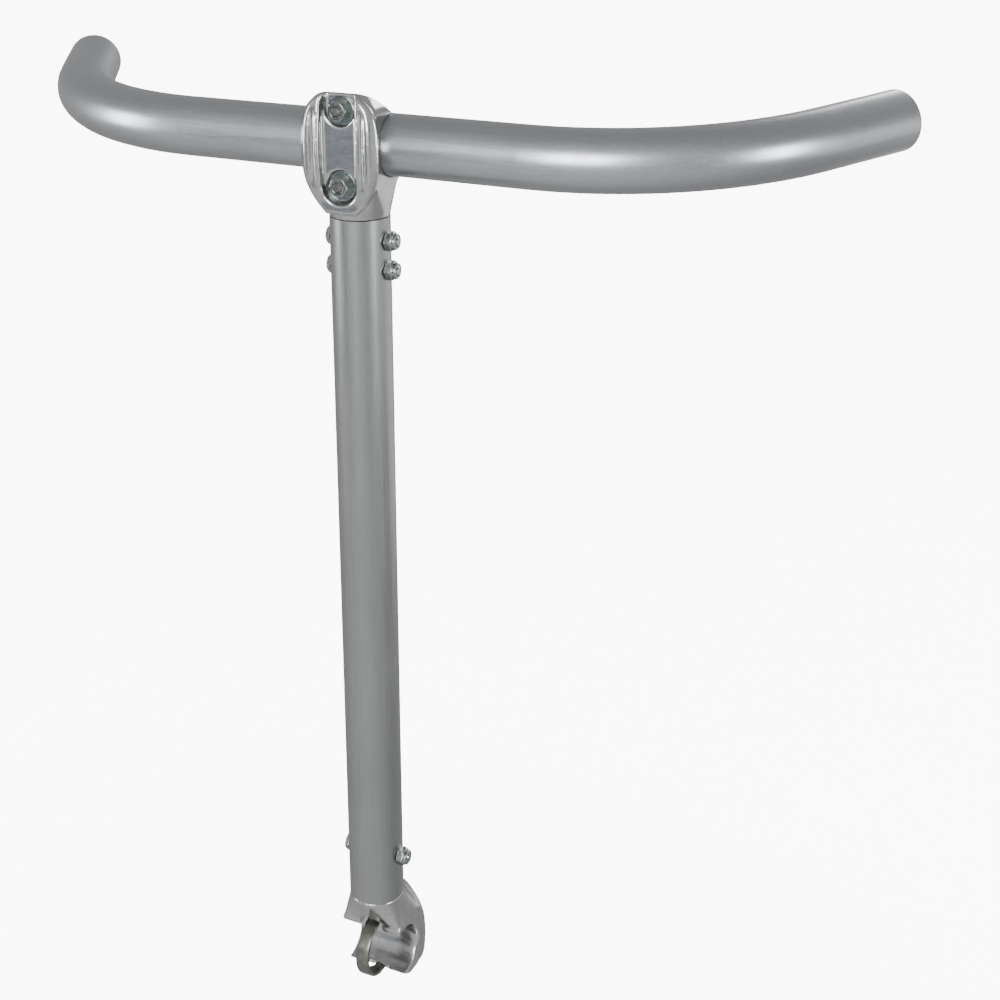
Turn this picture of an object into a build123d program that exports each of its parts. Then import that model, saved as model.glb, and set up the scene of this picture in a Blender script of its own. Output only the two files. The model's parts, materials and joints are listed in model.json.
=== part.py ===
from build123d import *
import os

os.makedirs("parts", exist_ok=True)

# A clamp-on T-bar stand. A curved hand bar sits in a forged clamp fitting on top of a round
# post, and an identical fitting, turned over, clamps the foot of the post to a round rail.
# Millimetres. The origin is on the rail's axis, in the middle of the rail clamp: +X runs along
# the rail, +Z up the post, and the bar's arms sweep back towards +Y.

# round tube, one size for the bar, the post and the rail
tube_diameter = 42.16
tube_wall = 3.56

# stand
post_length = 545.0
collar_reach = 50.0                # from a clamped tube's axis to the near end of the post
post_offset = 3.0                  # from a clamped tube's axis to the post's, towards the nuts

# hand bar
bar_half_straight = 129.5
bar_bend_radius = 195.5
bar_bend_angle = 58.3
bar_tail = 70.0
bar_rise_angle = 5.3               # the arms rise by this much as they sweep back
bar_side_shift = -5.4              # the bar sits a little off centre in its clamp

# clearances, all on the radius
saddle_clearance = 0.1             # saddle to the tube clamped in it
bow_clearance = 0.3                # U-bolt's bow to the tube
stub_clearance = 0.1               # stub to the post tube
plug_clearance = 0.05              # plugs to the bar's ends
hole_clearance = 0.3               # bolts to their holes
thread_clearance = 0.05            # nuts to their threads

# U-bolt: a round rod, flattened where it bows round the tube
rod_diameter = 7.94
bow_width = 11.0
bow_thickness = 3.3
bow_corner = 1.2
flare_start = 2.0                  # the rod starts to flatten this far before the tube's axis
flare_end_angle = 10.0             # and is flat this far round the tube
leg_past_nut = 1.2

# nuts, washers and bolts
hex_width = 12.7                   # across the flats, the same for nuts and heads
hex_bevel = 1.2
washer_diameter = 20.0
washer_thickness = 1.6
clamp_nut_height = 6.4
bolt_head_height = 3.4
lock_nut_hex_height = 5.2
lock_nut_collar_height = 2.6
lock_nut_collar_radius = 5.8
lock_nut_collar_round = 1.2
bolt_past_nut = 1.0
tip_bevel = 1.4                    # on the ends of the legs and bolts

# fitting: saddle and neck
saddle_half_length = 25.6
saddle_corner = 14.0               # the saddle block's upper corners, seen from the front
saddle_front = 25.5                # the block's front, hidden behind the face plate's rim
heel_length = 8.0                  # the feet reach this far past the tube's axis
neck_corner = 5.0
collar_height = 2.0
roof_start = 20.5                  # the roof slopes back from this far before the tube's axis
roof_end = 0.6                     # and meets the tube this far past it
roof_drop = 0.8                    # it starts this far below the top of the face plate
notch_half_width = 9.0             # arched gap for the U-bolt between the feet
notch_height = 4.7
notch_start = 3.0                  # the gap starts this far before the tube's axis

# fitting: face plate, with depths measured from the clamped tube's axis
plate_rear = 19.0
plate_waist = 4.2                  # the plate's rear stands in from its edge by this much all round
plate_edge = 28.5
crown_depth = 33.6                 # the face is crowned, highest level with the tube's axis
crown_end_depth = 30.2             # and lowest at the plate's top and foot
plate_bevel = 5.0                  # the plate's front stands in from its edge by this much all round
plate_top = 36.5
plate_top_half_width = 12.0
plate_half_width = 29.5
plate_widest_above = 5.0
plate_widest_below = 9.0
plate_foot = 45.0
plate_foot_half_width = 12.0

# fitting: channel in the face, with a seat for each washer and a raised pad between them
seat_depth = 24.4
pad_depth = 28.2
channel_half_width = 11.2
channel_lip_half_width = 14.4
groove_inner_half_width = 16.4     # a shallow groove follows the channel, outside its lip
groove_outer_half_width = 20.4
groove_depth = 31.7
seat_margin = 0.6                  # room round a washer

# fitting: stub and cross bolts
stub_length = 52.0
stub_bevel = 1.5
near_bolt = 16.2                   # from the end of the post tube to the first cross bolt
far_bolt = 36.8

# end plugs
plug_depth = 16.0
plug_wall = 2.0
plug_flange = 1.6
plug_flange_inset = 0.5
plug_flange_round = 0.7

# sizes that follow
tube_radius = tube_diameter / 2
tube_bore_radius = tube_radius - tube_wall
bar_height = post_length + 2 * collar_reach
saddle_radius = tube_radius + saddle_clearance
stub_radius = tube_bore_radius - stub_clearance
rod_radius = rod_diameter / 2
rod_hole_radius = rod_radius + hole_clearance
thread_radius = rod_radius + thread_clearance
bow_inner_radius = tube_radius + bow_clearance
leg_offset = bow_inner_radius + rod_radius
washer_radius = washer_diameter / 2
seat_radius = washer_radius + seat_margin
nut_depth = seat_depth + washer_thickness
leg_end = nut_depth + clamp_nut_height + leg_past_nut

# The two clamps. In a clamp's own frame the clamped tube runs along X, the post comes up from
# -Z and the clamp nuts face -Y.
rail_clamp = Location((0, 0, 0), (180, 0, 0))
bar_clamp = Location((0, 2 * post_offset, bar_height))
bar_frame = bar_clamp * Location((bar_side_shift, 0, 0), (bar_rise_angle, 0, 0))
post_foot = collar_reach
post_head = collar_reach + post_length
head_bolts = {"upper": post_head - near_bolt, "lower": post_head - far_bolt}
foot_bolt = post_foot + far_bolt


def on(frame, plane):
    """A plane given in a clamp's or a tube's own frame."""
    return Plane(frame * plane.location)


def hex_blank(plane, height):
    """A hexagon standing on a plane, its outer corners turned off."""
    corner_radius = hex_width / 3**0.5
    with BuildPart() as turned:
        with BuildSketch(plane):
            Circle(corner_radius)
        extrude(amount=height)
        rims = turned.edges().filter_by(GeomType.CIRCLE).sort_by(Axis(plane.origin, plane.z_dir))
        chamfer(rims[-1], hex_bevel)
        with BuildSketch(plane):
            RegularPolygon(corner_radius, 6)
        extrude(amount=height, mode=Mode.INTERSECT)
    return turned.part


def plate_outline(inset):
    """The face plate's outline on the current sketch plane, with the roof towards +Y."""
    top_corner = (plate_top_half_width - inset / 2, plate_top - inset)
    foot_corner = (plate_foot_half_width - inset / 2, -plate_foot + inset)
    side = Spline(
        top_corner,
        (plate_half_width - inset, plate_widest_above),
        (plate_half_width - inset, -plate_widest_below),
        foot_corner,
        tangents=((1, -0.25), (-1, -1)),
    )
    mirror(side, about=Plane.YZ)
    for width, height in (top_corner, foot_corner):
        Line((-width, height), (width, height))


def channel_outline(half_width):
    """The channel's outline: a round end by the lower leg, and open at the roof."""
    open_end = plate_top + channel_lip_half_width
    with Locations((0, -leg_offset)):
        Circle(half_width)
    with Locations((0, (open_end - leg_offset) / 2)):
        Rectangle(2 * half_width, open_end + leg_offset)


def make_fitting(clamp, bolt_distances):
    """The forged clamp fitting, with a cross hole at each distance along its stub."""
    face = on(clamp, Plane.XZ)
    collar = on(clamp * Location((0, -post_offset, -collar_reach)), Plane.XY)
    leg_centres = [(0, leg_offset), (0, -leg_offset)]
    with BuildPart() as fitting:
        # collar round the post's axis, and the neck up to the saddle
        with BuildSketch(collar):
            Circle(tube_radius)
        extrude(amount=collar_height)
        with BuildSketch(collar.offset(collar_height)):
            Circle(tube_radius)
        with BuildSketch(on(clamp, Plane.XY.offset(-leg_offset))):
            with Locations((0, (heel_length - plate_edge) / 2)):
                RectangleRounded(2 * saddle_half_length, plate_edge + heel_length, neck_corner)
        loft()
        # oval face plate, widest at its edge and narrower to the front and the rear
        for end_depth, inset in ((plate_rear, plate_waist), (crown_depth, plate_bevel)):
            for depth, step in ((plate_edge, 0), (end_depth, inset)):
                with BuildSketch(face.offset(depth)):
                    with BuildLine():
                        plate_outline(step)
                    make_face()
            loft()
        # saddle block behind the plate, round at its upper corners
        with BuildSketch(face.offset(saddle_front)):
            RectangleRounded(2 * saddle_half_length, 2 * plate_top, saddle_corner)
            with Locations((0, (plate_top - leg_offset) / 2)):
                Rectangle(2 * saddle_half_length, plate_top + leg_offset, mode=Mode.INTERSECT)
        extrude(amount=-(saddle_front + heel_length))
        # crown of the face, and the roof that slopes back to the tube
        with BuildSketch(on(clamp, Plane.YZ)):
            with BuildLine():
                ThreePointArc((-crown_end_depth, plate_top), (-crown_depth, 0), (-crown_end_depth, -plate_top))
                Polyline(
                    (-crown_end_depth, -plate_top),
                    (-crown_end_depth, -plate_foot),
                    (-2 * crown_depth, -plate_foot),
                    (-2 * crown_depth, plate_top),
                    (-crown_end_depth, plate_top),
                )
            make_face()
            with BuildLine():
                Polyline(
                    (-roof_start, plate_top - roof_drop),
                    (roof_end, saddle_radius),
                    (roof_end, 0),
                    (2 * heel_length, 0),
                    (2 * heel_length, 2 * plate_top),
                    (-roof_start - roof_drop, 2 * plate_top),
                    (-roof_start - roof_drop, plate_top),
                    close=True,
                )
            make_face()
        extrude(amount=plate_half_width, both=True, mode=Mode.SUBTRACT)
        # groove, channel, and the raised pad between the washer seats
        with BuildSketch(face.offset(groove_depth)):
            channel_outline(groove_outer_half_width)
            with BuildSketch(mode=Mode.PRIVATE) as inside:
                channel_outline(groove_inner_half_width)
            add(inside.sketch, mode=Mode.SUBTRACT)
        extrude(amount=crown_depth - groove_depth, mode=Mode.SUBTRACT)
        with BuildSketch(face.offset(crown_depth)):
            channel_outline(channel_lip_half_width)
        with BuildSketch(face.offset(seat_depth)):
            channel_outline(channel_half_width)
        loft(mode=Mode.SUBTRACT)
        with BuildSketch(face.offset(seat_depth)):
            Rectangle(2 * channel_lip_half_width, 2 * leg_offset)
            with Locations(leg_centres):
                Circle(seat_radius, mode=Mode.SUBTRACT)
        extrude(amount=pad_depth - seat_depth)
        # holes for the legs, and the arched gaps where the rod flattens
        with BuildSketch(face.offset(crown_depth)):
            with Locations(leg_centres):
                Circle(rod_hole_radius)
        extrude(amount=-(crown_depth + tube_diameter), mode=Mode.SUBTRACT)
        with BuildSketch(face.offset(notch_start)):
            with Locations(leg_centres):
                Ellipse(notch_half_width, notch_height)
            Rectangle(2 * notch_half_width, 2 * leg_offset)
        extrude(amount=-(notch_start + heel_length + tube_radius), mode=Mode.SUBTRACT)
        # saddle
        with BuildSketch(on(clamp, Plane.YZ)):
            Circle(saddle_radius)
        extrude(amount=plate_half_width, both=True, mode=Mode.SUBTRACT)
        # stub
        with BuildSketch(collar):
            Circle(stub_radius)
        stub = extrude(amount=-stub_length)
        stub_rim = stub.edges().filter_by(GeomType.CIRCLE).sort_by(Axis(collar.origin, collar.z_dir))
        chamfer(stub_rim[0], stub_bevel)
        for distance in bolt_distances:
            with BuildSketch(Plane(collar.offset(-distance).location * Plane.YZ.location)):
                Circle(rod_hole_radius)
            extrude(amount=tube_radius, both=True, mode=Mode.SUBTRACT)
    return fitting.part


def make_u_bolt(clamp):
    """The U-bolt: two round legs, and a flattened bow round the far side of the tube."""
    bow_middle = bow_inner_radius + bow_thickness / 2
    face = on(clamp, Plane.XZ)
    with BuildPart() as u_bolt:
        for side in (1, -1):
            with BuildSketch(face.offset(flare_start)):
                with Locations((0, side * leg_offset)):
                    Circle(rod_radius)
            leg = extrude(amount=leg_end - flare_start)
            tips = leg.edges().filter_by(GeomType.CIRCLE).sort_by(Axis(face.origin, face.z_dir))
            chamfer(tips[-1], tip_bevel)
            with BuildSketch(face.offset(flare_start)):
                with Locations((0, side * leg_offset)):
                    Circle(rod_radius)
            turn = Location((0, 0, 0), (-side * flare_end_angle, 0, 0))
            with BuildSketch(on(clamp * turn, Plane.XZ)):
                with Locations((0, side * bow_middle)):
                    RectangleRounded(bow_width, bow_thickness, bow_corner)
            loft()
        turn = Location((0, 0, 0), (-flare_end_angle, 0, 0))
        with BuildSketch(on(clamp * turn, Plane.XZ)):
            with Locations((0, bow_middle)):
                RectangleRounded(bow_width, bow_thickness, bow_corner)
        tube_axis = Axis(face.origin, face.x_dir)
        revolve(axis=tube_axis, revolution_arc=-(180 - 2 * flare_end_angle))
    return u_bolt.part


def make_clamp_nut(clamp, side):
    """A hexagon nut on one leg of a U-bolt."""
    leg = clamp * Location((0, 0, side * leg_offset))
    seat = on(leg, Plane.XZ.offset(nut_depth))
    with BuildPart() as nut:
        add(hex_blank(seat, clamp_nut_height))
        with BuildSketch(seat):
            Circle(thread_radius)
        extrude(amount=clamp_nut_height, mode=Mode.SUBTRACT)
    return nut.part


def make_clamp_washer(clamp, side):
    """A flat washer under a clamp nut."""
    leg = clamp * Location((0, 0, side * leg_offset))
    with BuildPart() as washer:
        with BuildSketch(on(leg, Plane.XZ.offset(seat_depth))):
            Circle(washer_radius)
            Circle(rod_hole_radius, mode=Mode.SUBTRACT)
        extrude(amount=washer_thickness)
    return washer.part


def make_cross_bolt(height):
    """A bolt through the post and a stub, its head on the -X side."""
    axle = Location((0, post_offset, height))
    reach = tube_radius + lock_nut_hex_height + lock_nut_collar_height + bolt_past_nut
    with BuildPart() as bolt:
        add(hex_blank(on(axle, -Plane.YZ.offset(-tube_radius)), bolt_head_height))
        with BuildSketch(on(axle, Plane.YZ.offset(-tube_radius))):
            Circle(rod_radius)
        shank = extrude(amount=tube_radius + reach)
        tips = shank.edges().filter_by(GeomType.CIRCLE).sort_by(Axis.X)
        chamfer(tips[-1], tip_bevel)
    return bolt.part


def make_lock_nut(height):
    """A lock nut on a cross bolt, with a rounded collar outside its hexagon."""
    seat = on(Location((0, post_offset, height)), Plane.YZ.offset(tube_radius))
    with BuildPart() as nut:
        add(hex_blank(seat, lock_nut_hex_height))
        with BuildSketch(seat.offset(lock_nut_hex_height)):
            Circle(lock_nut_collar_radius)
        collar = extrude(amount=lock_nut_collar_height)
        rims = collar.edges().filter_by(GeomType.CIRCLE).sort_by(Axis.X)
        fillet(rims[-1], lock_nut_collar_round)
        with BuildSketch(seat):
            Circle(thread_radius)
        extrude(amount=lock_nut_hex_height + lock_nut_collar_height, mode=Mode.SUBTRACT)
    return nut.part


# post: a straight tube, cross-drilled for the stubs' bolts
with BuildPart() as post_tube:
    with BuildSketch(Plane.XY.offset(post_foot)):
        with Locations((0, post_offset)):
            Circle(tube_radius)
            Circle(tube_bore_radius, mode=Mode.SUBTRACT)
    extrude(amount=post_length)
    for bolt_height in (foot_bolt, *head_bolts.values()):
        with BuildSketch(Plane.YZ):
            with Locations((post_offset, bolt_height)):
                Circle(rod_hole_radius)
        extrude(amount=tube_diameter, both=True, mode=Mode.SUBTRACT)

# hand bar: one arm swept along its line, then mirrored
bar_middle = Plane.YZ.offset(bar_side_shift)
with BuildPart() as top_bar:
    with BuildLine(on(bar_frame, Plane.XY)) as arm:
        straight = Line((0, 0), (bar_half_straight, 0))
        bend = JernArc(straight @ 1, straight % 1, bar_bend_radius, bar_bend_angle)
        Line(bend @ 1, bend @ 1 + (bend % 1) * bar_tail)
    with BuildSketch(on(bar_frame, Plane.YZ)):
        Circle(tube_radius)
        Circle(tube_bore_radius, mode=Mode.SUBTRACT)
    sweep(path=arm.wire())
    mirror(about=bar_middle)

# end plugs: a flange over the tube's end, and a hollow skirt inside it
arm_end = Plane(arm.wire() @ 1, z_dir=arm.wire() % 1)
with BuildPart() as bar_end_plug_right:
    with BuildSketch(arm_end):
        Circle(tube_radius - plug_flange_inset)
    flange = extrude(amount=plug_flange)
    flange_rims = flange.edges().filter_by(GeomType.CIRCLE).sort_by(Axis(arm_end.origin, arm_end.z_dir))
    fillet(flange_rims[-1], plug_flange_round)
    with BuildSketch(arm_end):
        Circle(tube_bore_radius - plug_clearance)
        Circle(tube_bore_radius - plug_clearance - plug_wall, mode=Mode.SUBTRACT)
    extrude(amount=-plug_depth)
with BuildPart() as bar_end_plug_left:
    mirror(bar_end_plug_right.part, about=bar_middle)

pieces = {
    "post_tube": post_tube.part,
    "top_bar": top_bar.part,
    "bar_end_plug_right": bar_end_plug_right.part,
    "bar_end_plug_left": bar_end_plug_left.part,
    "top_fitting": make_fitting(bar_clamp, (near_bolt, far_bolt)),
    "bottom_fitting": make_fitting(rail_clamp, (far_bolt,)),
    "bottom_cross_bolt": make_cross_bolt(foot_bolt),
    "bottom_cross_nut": make_lock_nut(foot_bolt),
}
for place, height in head_bolts.items():
    pieces[f"top_cross_bolt_{place}"] = make_cross_bolt(height)
    pieces[f"top_cross_nut_{place}"] = make_lock_nut(height)
for end, clamp, upper_side in (("top", bar_clamp, 1), ("bottom", rail_clamp, -1)):
    pieces[f"{end}_u_bolt"] = make_u_bolt(clamp)
    for place, side in (("upper", upper_side), ("lower", -upper_side)):
        pieces[f"{end}_clamp_nut_{place}"] = make_clamp_nut(clamp, side)
        pieces[f"{end}_clamp_washer_{place}"] = make_clamp_washer(clamp, side)

for name, piece in pieces.items():
    piece.label = name
    export_step(piece, f"parts/{name}.step")
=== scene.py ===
import json
import math

import bmesh
import bpy
from mathutils import Matrix, Vector


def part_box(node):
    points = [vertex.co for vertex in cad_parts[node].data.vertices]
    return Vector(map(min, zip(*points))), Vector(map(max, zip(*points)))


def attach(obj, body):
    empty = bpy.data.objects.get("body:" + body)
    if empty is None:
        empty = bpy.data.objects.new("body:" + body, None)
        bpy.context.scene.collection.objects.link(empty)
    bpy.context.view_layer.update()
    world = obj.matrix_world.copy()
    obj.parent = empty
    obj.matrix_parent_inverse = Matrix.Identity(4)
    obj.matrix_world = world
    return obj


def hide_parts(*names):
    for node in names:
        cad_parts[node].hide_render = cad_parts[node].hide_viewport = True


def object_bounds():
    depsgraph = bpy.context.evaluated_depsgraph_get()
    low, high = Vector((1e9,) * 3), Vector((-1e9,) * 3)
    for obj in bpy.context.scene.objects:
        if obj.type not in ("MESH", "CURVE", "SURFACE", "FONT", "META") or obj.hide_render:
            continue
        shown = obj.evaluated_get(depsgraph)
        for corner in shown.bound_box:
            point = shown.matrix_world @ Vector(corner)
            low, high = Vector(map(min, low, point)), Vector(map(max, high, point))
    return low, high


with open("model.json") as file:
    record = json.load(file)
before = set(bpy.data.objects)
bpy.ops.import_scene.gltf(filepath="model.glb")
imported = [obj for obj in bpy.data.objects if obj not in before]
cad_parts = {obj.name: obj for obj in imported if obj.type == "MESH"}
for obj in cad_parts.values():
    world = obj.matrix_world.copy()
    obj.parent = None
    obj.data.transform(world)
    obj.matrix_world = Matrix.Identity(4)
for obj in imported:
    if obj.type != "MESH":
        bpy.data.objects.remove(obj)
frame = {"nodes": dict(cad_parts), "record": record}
cad_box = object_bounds()
nodes = frame["nodes"]


# ---------------------------------------------------------------- camera

def camera():
    """Looks down on the stand from the front right."""
    data = bpy.data.cameras.new("camera")
    data.sensor_width = 36
    data.lens = 58.2
    data.shift_x = 0.0233
    data.shift_y = -0.1586
    data.dof.use_dof = False
    camera = bpy.data.objects.new("camera", data)
    yaw, pitch, roll = 0.4419, 0.3183, 0.0022
    camera.location = (0.5322, -0.9359, 0.8582)
    turn = Matrix.Rotation(yaw, 4, "Z") @ Matrix.Rotation(math.pi / 2 - pitch, 4, "X")
    camera.rotation_euler = (turn @ Matrix.Rotation(-roll, 4, "Z")).to_euler()
    bpy.context.collection.objects.link(camera)
    bpy.context.scene.camera = camera


# ---------------------------------------------------------------- materials

class Surface:
    """A metal or plastic surface built up from object-space noise, brushing and edge wear."""

    def __init__(self, name):
        self.material = bpy.data.materials.new(name)
        self.material.use_nodes = True
        self.tree = self.material.node_tree
        self.shader = self.tree.nodes["Principled BSDF"]
        self.place = self.tree.nodes.new("ShaderNodeTexCoord").outputs["Object"]

    def node(self, kind, **settings):
        made = self.tree.nodes.new(kind)
        for key, value in settings.items():
            setattr(made, key, value)
        return made

    def link(self, source, target):
        self.tree.links.new(source, target)

    def noise(self, scale, stretch=(1, 1, 1), detail=3.0, rough=0.55):
        """Noise in object space, its grain stretched along an axis by a small factor there."""
        mapping = self.node("ShaderNodeMapping")
        mapping.inputs["Scale"].default_value = stretch
        self.link(self.place, mapping.inputs["Vector"])
        noise = self.node("ShaderNodeTexNoise")
        noise.inputs["Scale"].default_value = scale
        noise.inputs["Detail"].default_value = detail
        noise.inputs["Roughness"].default_value = rough
        self.link(mapping.outputs["Vector"], noise.inputs["Vector"])
        return noise.outputs["Fac"]

    def spread(self, source, low, high, start=0.0, stop=1.0):
        """Maps start..stop of a value to low..high."""
        ranged = self.node("ShaderNodeMapRange")
        ranged.inputs["From Min"].default_value = start
        ranged.inputs["From Max"].default_value = stop
        ranged.inputs["To Min"].default_value = low
        ranged.inputs["To Max"].default_value = high
        self.link(source, ranged.inputs["Value"])
        return ranged.outputs["Result"]

    def math(self, operation, first, second):
        made = self.node("ShaderNodeMath", operation=operation)
        for socket, value in zip(made.inputs, (first, second)):
            if isinstance(value, (int, float)):
                socket.default_value = value
            else:
                self.link(value, socket)
        return made.outputs["Value"]

    def mix(self, factor, first, second):
        made = self.node("ShaderNodeMix", data_type="RGBA")
        self.link(factor, made.inputs["Factor"])
        for socket, value in ((made.inputs["A"], first), (made.inputs["B"], second)):
            if isinstance(value, tuple):
                socket.default_value = (*value, 1)
            else:
                self.link(value, socket)
        return made.outputs["Result"]

    def bump(self, *layers):
        """Stacks (height, strength, distance in metres) layers of bump."""
        normal = None
        for height, strength, distance in layers:
            made = self.node("ShaderNodeBump")
            made.inputs["Strength"].default_value = strength
            made.inputs["Distance"].default_value = distance
            self.link(height, made.inputs["Height"])
            if normal:
                self.link(normal, made.inputs["Normal"])
            normal = made.outputs["Normal"]
        self.link(normal, self.shader.inputs["Normal"])

    def edges(self, radius):
        """1 on edges sharper than a radius, 0 on open faces."""
        bevel = self.node("ShaderNodeBevel", samples=4)
        bevel.inputs["Radius"].default_value = radius
        geometry = self.node("ShaderNodeNewGeometry")
        dot = self.node("ShaderNodeVectorMath", operation="DOT_PRODUCT")
        self.link(bevel.outputs["Normal"], dot.inputs[0])
        self.link(geometry.outputs["Normal"], dot.inputs[1])
        return self.spread(dot.outputs["Value"], 1.0, 0.0, 0.9, 0.995)


def tube_metal(name, dark, light, along, rough):
    """Satin anodised aluminium tube, with fine die lines along it and faint handling marks.

    along is small on the tube's own axis, which draws the lines out that way."""
    s = Surface(name)
    lines = s.noise(900, along, 2.0)
    cloud = s.noise(9, detail=2.0)
    grain = s.noise(2600, detail=1.0)
    smudge = s.spread(s.noise(34, detail=4.0, rough=0.62), 0, 1, 0.52, 0.72)
    tone = s.math("ADD", s.math("MULTIPLY", lines, 0.45), s.math("MULTIPLY", cloud, 0.55))
    base = s.mix(s.spread(tone, 0, 1, 0.32, 0.68), dark, light)
    smudged = tuple(0.8 * c for c in dark)
    s.link(s.mix(s.math("MULTIPLY", smudge, 0.2), base, smudged), s.shader.inputs["Base Color"])
    s.shader.inputs["Metallic"].default_value = 1.0
    brushed = s.spread(lines, rough - 0.035, rough + 0.035, 0.3, 0.7)
    s.link(s.math("ADD", brushed, s.math("MULTIPLY", smudge, 0.05)), s.shader.inputs["Roughness"])
    s.shader.inputs["Coat Weight"].default_value = 0.12
    s.shader.inputs["Coat Roughness"].default_value = 0.18
    s.bump((lines, 0.16, 0.00006), (grain, 0.08, 0.00002))
    return s.material


def forged_metal():
    """Polished forging: smooth but slightly wavy, with brighter rubbed edges, and painted shade in its
    hollows, which are also duller.
    """
    s = Surface("forged_aluminium")
    waves = s.noise(55, detail=1.5, rough=0.4)
    ripple = s.noise(230, detail=2.0)
    pits = s.noise(1500, detail=2.0)
    rub = s.noise(700, (0.18, 1, 1), 2.0)
    geometry = s.node("ShaderNodeNewGeometry")
    worn = s.spread(geometry.outputs["Pointiness"], 0, 1, 0.51, 0.58)
    # Hollows, found by pointiness: painted shade darkens their colour, and they are also made rougher.
    hollow_painted_shade_and_dullness = s.spread(geometry.outputs["Pointiness"], 1, 0, 0.43, 0.496)
    base = s.mix(s.spread(ripple, 0, 1, 0.3, 0.7), (0.47, 0.48, 0.48), (0.55, 0.555, 0.55))
    base = s.mix(s.math("MULTIPLY", worn, 0.7), base, (0.84, 0.84, 0.825))
    # Painted shade: the hollows' colour is mixed towards a dark blue-grey.
    s.link(s.mix(s.math("MULTIPLY", hollow_painted_shade_and_dullness, 0.8), base, (0.17, 0.185, 0.2)), s.shader.inputs["Base Color"])
    s.shader.inputs["Metallic"].default_value = 1.0
    rough = s.spread(rub, 0.16, 0.23, 0.3, 0.7)
    s.link(s.math("ADD", rough, s.math("MULTIPLY", hollow_painted_shade_and_dullness, 0.15)), s.shader.inputs["Roughness"])
    s.bump((waves, 0.3, 0.0004), (ripple, 0.12, 0.00006), (pits, 0.06, 0.00002))
    return s.material


def zinc_metal():
    """Zinc plate: grey, a little green, mottled, and rubbed bright on the corners."""
    s = Surface("zinc_plated_steel")
    mottle = s.noise(420, detail=3.0)
    fine = s.noise(2400, detail=2.0)
    base = s.mix(s.spread(mottle, 0, 1, 0.3, 0.7), (0.22, 0.26, 0.25), (0.46, 0.5, 0.475))
    rubbed = s.math("MULTIPLY", s.edges(0.0005), 0.8)
    s.link(s.mix(rubbed, base, (0.86, 0.87, 0.85)), s.shader.inputs["Base Color"])
    s.shader.inputs["Metallic"].default_value = 1.0
    s.link(s.spread(mottle, 0.1, 0.18, 0.3, 0.7), s.shader.inputs["Roughness"])
    s.bump((mottle, 0.1, 0.0001), (fine, 0.1, 0.00002))
    return s.material


def plain_steel():
    """Plain steel rod: dark grey-brown, with a mottled film and worn edges."""
    s = Surface("plain_steel")
    film = s.noise(150, detail=4.0, rough=0.65)
    fine = s.noise(1900, detail=2.0)
    base = s.mix(s.spread(film, 0, 1, 0.35, 0.65), (0.15, 0.155, 0.14), (0.25, 0.252, 0.225))
    rubbed = s.math("MULTIPLY", s.edges(0.0006), 0.5)
    s.link(s.mix(rubbed, base, (0.52, 0.51, 0.49)), s.shader.inputs["Base Color"])
    s.shader.inputs["Metallic"].default_value = 1.0
    s.link(s.spread(film, 0.26, 0.36, 0.3, 0.7), s.shader.inputs["Roughness"])
    s.bump((film, 0.06, 0.00008), (fine, 0.12, 0.00003))
    return s.material


def plug_plastic():
    """Moulded plastic: near black, fine moulded grain, greyer where handled."""
    s = Surface("plug_plastic")
    cloud = s.noise(70, detail=3.0)
    grain = s.noise(1600, detail=2.0)
    base = s.mix(s.spread(cloud, 0, 1, 0.35, 0.65), (0.016, 0.013, 0.018), (0.034, 0.03, 0.038))
    rubbed = s.math("MULTIPLY", s.edges(0.0006), 0.5)
    s.link(s.mix(rubbed, base, (0.09, 0.085, 0.09)), s.shader.inputs["Base Color"])
    s.link(s.spread(cloud, 0.42, 0.58, 0.3, 0.7), s.shader.inputs["Roughness"])
    s.bump((grain, 0.25, 0.00008))
    return s.material


# ---------------------------------------------------------------- shapes

def ease(share):
    return share * share * (3 - 2 * share)


def rounded(value, squareness):
    """A cosine or sine made squarer: 2 leaves a circle as it is."""
    return math.copysign(abs(value) ** (2 / squareness), value)


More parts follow.
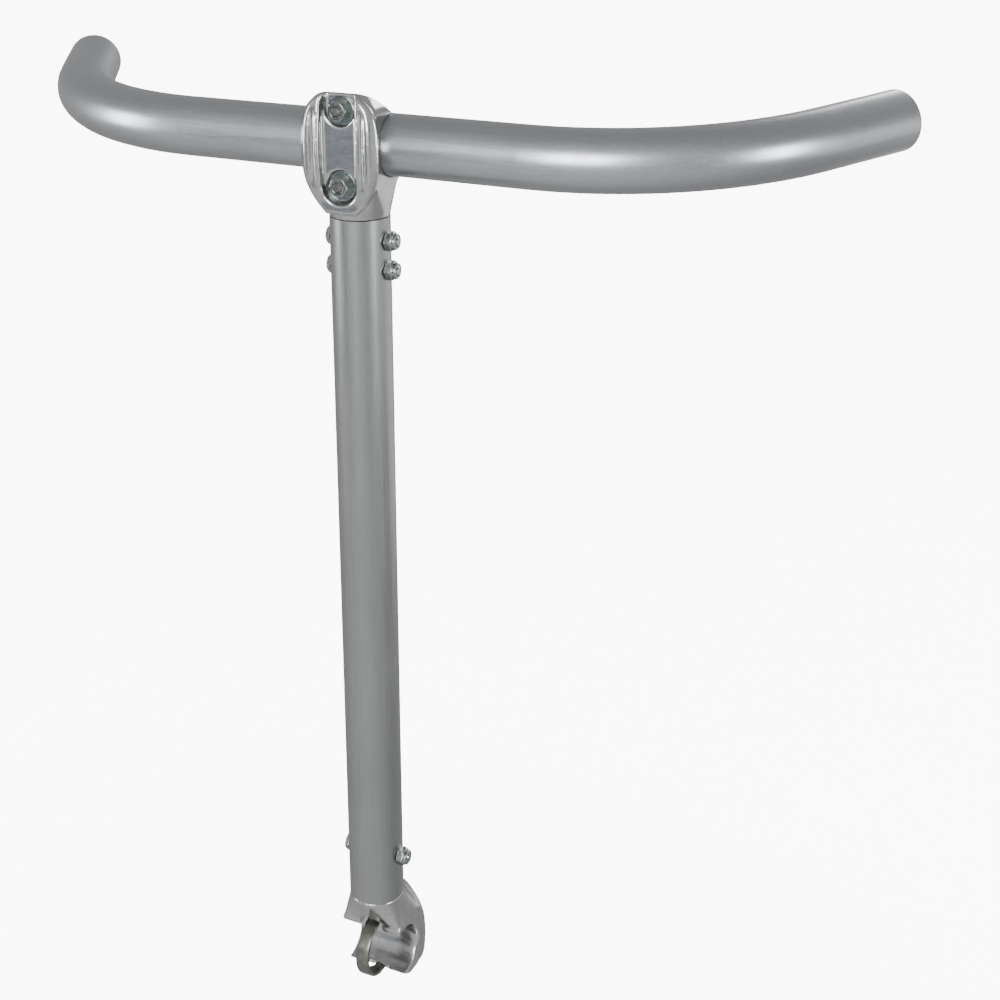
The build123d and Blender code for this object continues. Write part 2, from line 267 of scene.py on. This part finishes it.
def u_bolt(node, facing):
    """A U-bolt swept in one piece: rolled threads on both legs, flattening to a band round the tube.

    facing is the way the legs point along Y. Its overall size comes from the CAD piece it stands for."""
    rod = 0.00397                       # radius
    band = 0.0033                       # thickness
    pitch = 0.0254 / 18
    threaded = 0.0125                   # length of thread on each leg
    groove_share = 0.55                 # a thread's depth, as a share of the pitch
    bevel = 0.0018                      # on the end of each leg
    flare = 0.002                       # the legs are round up to this far before the tube's axis
    flat_from = math.radians(10)        # and the bow is flat from this far round the tube
    band_squareness = 5.5               # of the band's section, where a round rod's is 2
    pitch_steps = 10
    plain_steps = 6
    bow_steps = 72
    around = 48

    low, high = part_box(node)
    leg_offset = (high.z - low.z) / 2 - rod
    outer = leg_offset - rod + band
    band_middle = outer - band / 2
    half_width = (high.x - low.x) / 2
    axis_y = high.y - outer if facing < 0 else low.y + outer
    leg_end = (high.y - low.y) - outer
    middle = Vector(((low.x + high.x) / 2, axis_y, (low.z + high.z) / 2))

    def leg(side):
        """Sections from end to flare: centre, outward direction, flatness, distance from the end."""
        threads = [i * pitch / pitch_steps for i in range(int(threaded / pitch * pitch_steps) + 1)]
        plain_length = leg_end - flare - threaded
        plain = [threaded + plain_length * i / plain_steps for i in range(1, plain_steps + 1)]
        out = Vector((0, 0, side))
        return [(Vector((0, end - leg_end, side * leg_offset)), out, 0.0, end) for end in (*threads, *plain)]

    sections = leg(1)
    for i in range(1, bow_steps):
        angle = math.pi * i / bow_steps
        flat = ease(min(1.0, min(angle, math.pi - angle) / flat_from))
        out = Vector((0, math.sin(angle), math.cos(angle)))
        sections.append((out * (leg_offset + (band_middle - leg_offset) * flat), out, flat, leg_end))
    sections.extend(reversed(leg(-1)))

    mesh = bmesh.new()
    rings = []
    for centre, out, flat, end in sections:
        half = rod + (band / 2 - rod) * flat
        wide = rod + (half_width - rod) * flat
        squareness = 2 + (band_squareness - 2) * flat
        ring = []
        for k in range(around):
            turn = 2 * math.pi * k / around
            across = rounded(math.cos(turn), squareness) * wide
            up = rounded(math.sin(turn), squareness) * half
            scale = 1.0
            if end < threaded:
                wave = (out.z * end / pitch + k / around) % 1.0
                groove = groove_share * pitch * min(1.0, (threaded - end) / pitch)
                scale = (rod - groove * abs(2 * wave - 1)) / rod
            if end < bevel:
                scale = min(scale, (rod - bevel + end) / rod)
            place = centre + Vector((across * scale, 0, 0)) + out * (up * scale)
            if facing > 0:
                place = Vector((place.x, -place.y, -place.z))
            ring.append(mesh.verts.new(place + middle))
        rings.append(ring)
    for first, second in zip(rings, rings[1:]):
        for k in range(around):
            after = (k + 1) % around
            mesh.faces.new((first[k], second[k], second[after], first[after]))
    mesh.faces.new(rings[0])
    mesh.faces.new(list(reversed(rings[-1])))
    bmesh.ops.recalc_face_normals(mesh, faces=mesh.faces)
    for face in mesh.faces:
        face.smooth = len(face.verts) == 4
    data = bpy.data.meshes.new(node + "_swept")
    mesh.to_mesh(data)
    mesh.free()
    piece = bpy.data.objects.new(node + "_swept", data)
    bpy.context.collection.objects.link(piece)
    data.materials.append(finishes["plain_steel"])
    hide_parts(node)
    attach(piece, node)


def soften(node, cell, rounds, gap=0.0):
    """Rounds a piece's edges, as on a forging or a rolled fastener.

    cell is the remesh's voxel size. gap draws the faces in, clear of a neighbour's."""
    remesh = node.modifiers.new("skin", "REMESH")
    remesh.mode = "VOXEL"
    remesh.voxel_size = cell
    remesh.use_smooth_shade = True
    smooth = node.modifiers.new("soft_edges", "SMOOTH")
    smooth.factor = 0.5
    smooth.iterations = rounds
    if gap:
        draw_in = node.modifiers.new("gap", "DISPLACE")
        draw_in.mid_level = 0
        draw_in.strength = -gap


# ---------------------------------------------------------------- setting

def aim(piece, place, target):
    piece.location = place
    piece.rotation_euler = (Vector(target) - Vector(place)).to_track_quat("-Z", "Y").to_euler()


def plain_material(name, colour):
    """An even matt finish, for the floor and the cards, which aren't part of the object."""
    material = bpy.data.materials.new(name)
    material.use_nodes = True
    shader = material.node_tree.nodes["Principled BSDF"]
    shader.inputs["Base Color"].default_value = (*colour, 1)
    shader.inputs["Roughness"].default_value = 0.9
    return material


def box_light(name, place, target, size, power):
    data = bpy.data.lights.new(name, "AREA")
    data.shape = "RECTANGLE"
    data.size, data.size_y = size
    data.energy = power
    lamp = bpy.data.objects.new(name, data)
    lamp.visible_camera = False
    bpy.context.collection.objects.link(lamp)
    aim(lamp, place, target)
    return lamp


def dark_card(name, place, target, size):
    """A card that only reflections show."""
    bpy.ops.mesh.primitive_plane_add(size=1)
    card = bpy.context.object
    card.name = name
    card.scale = (*size, 1)
    card.data.materials.append(plain_material("card", (0.06, 0.065, 0.08)))
    card.visible_camera = False
    card.visible_diffuse = False
    card.visible_shadow = False
    aim(card, place, target)


def surround():
    """An even surround, brighter towards the front and a little below it."""
    world = bpy.data.worlds.new("world")
    bpy.context.scene.world = world
    world.use_nodes = True
    tree = world.node_tree
    background = tree.nodes["Background"]
    background.inputs["Color"].default_value = (1, 1, 0.985, 1)
    around = tree.nodes.new("ShaderNodeTexCoord")
    facing = tree.nodes.new("ShaderNodeVectorMath")
    facing.operation = "DOT_PRODUCT"
    facing.inputs[1].default_value = Vector((-0.05, -1, -0.25)).normalized()
    level = tree.nodes.new("ShaderNodeMapRange")
    level.interpolation_type = "SMOOTHSTEP"
    dim, bright = 0.42, 0.8
    for socket, value in (("From Min", -0.2), ("From Max", 1.0), ("To Min", dim), ("To Max", bright)):
        level.inputs[socket].default_value = value
    tree.links.new(around.outputs["Generated"], facing.inputs[0])
    tree.links.new(facing.outputs["Value"], level.inputs["Value"])
    tree.links.new(level.outputs["Result"], background.inputs["Strength"])


def studio():
    """Soft boxes and dark cards, for the metal to mirror."""
    box_light("key", (0.1, -2.6, 1.3), (0, 0, 0.45), (1.1, 1.3), 56)
    box_light("left_strip", (-2.1, -1.05, 0.72), (0, 0, 0.62), (0.4, 1.05), 26)
    box_light("right_strip", (2.3, -0.5, 0.75), (0, 0, 0.62), (0.4, 1.05), 24)
    box_light("rear", (0.6, 2.4, 1.6), (0, 0, 0.45), (1.6, 0.9), 26)
    dark_card("card_left", (-1.25, -2.15, 0.2), (0, 0, 0.6), (0.85, 1.0))
    dark_card("card_right", (1.75, -1.6, 0.5), (0, 0, 0.6), (0.5, 1.3))


def floor_and_fills():
    """A pale floor with a light of its own, and two low fills that leave the floor out."""
    floor_drop = 0.25
    bpy.ops.mesh.primitive_plane_add(size=60, location=(0, 0, cad_box[0].z - floor_drop))
    floor = bpy.context.object
    floor.name = "floor"
    floor.data.materials.append(plain_material("floor", (0.93, 0.93, 0.93)))
    floor.visible_glossy = False

    data = bpy.data.lights.new("floor_light", "SUN")
    data.energy = 32
    data.angle = math.radians(70)
    sun = bpy.data.objects.new("floor_light", data)
    bpy.context.collection.objects.link(sun)
    floor_only = bpy.data.collections.new("lit_by_floor_light")
    floor_only.objects.link(floor)
    sun.light_linking.receiver_collection = floor_only

    all_but_floor = bpy.data.collections.new("floor_left_out")
    all_but_floor.objects.link(floor)
    all_but_floor.collection_objects[0].light_linking.link_state = "EXCLUDE"
    for name, place, size, power in (
        ("rear_low", (1.15, 2.0, -0.12), (2.0, 1.1), 5.5),
        ("right_low", (2.2, 0.75, 0.35), (1.6, 1.2), 3.5),
    ):
        fill = box_light(name, place, (0.1, 0, 0.55), size, power)
        fill.light_linking.receiver_collection = all_but_floor


# ---------------------------------------------------------------- the stand

camera()

finishes = {
    "forged_aluminium": forged_metal(),
    "zinc_plated_steel": zinc_metal(),
    "plain_steel": plain_steel(),
    "plug_plastic": plug_plastic(),
    # The post and the bar are the same anodised aluminium: the post's darker base colours against the bar's
    # are painted shade.
    "post_aluminium": tube_metal(
        "post_aluminium", dark=(0.31, 0.328, 0.322), light=(0.37, 0.388, 0.38), along=(1, 1, 0.02), rough=0.34
    ),
    "bar_aluminium": tube_metal(
        "bar_aluminium", dark=(0.425, 0.44, 0.468), light=(0.495, 0.512, 0.54), along=(0.03, 1, 1), rough=0.32
    ),
}
for part in frame["record"]["subparts"]:
    node = nodes[part["node"]]
    node.data.materials.clear()
    node.data.materials.append(finishes[part["material_slot"]])
    if "fitting" in part["node"]:
        soften(node, cell=0.0005, rounds=50)
    elif "nut" in part["node"] or "cross_bolt" in part["node"] or "washer" in part["node"]:
        soften(node, cell=0.00018, rounds=1, gap=0.00003)
u_bolt("top_u_bolt", facing=-1)
u_bolt("bottom_u_bolt", facing=1)

surround()
studio()
floor_and_fills()
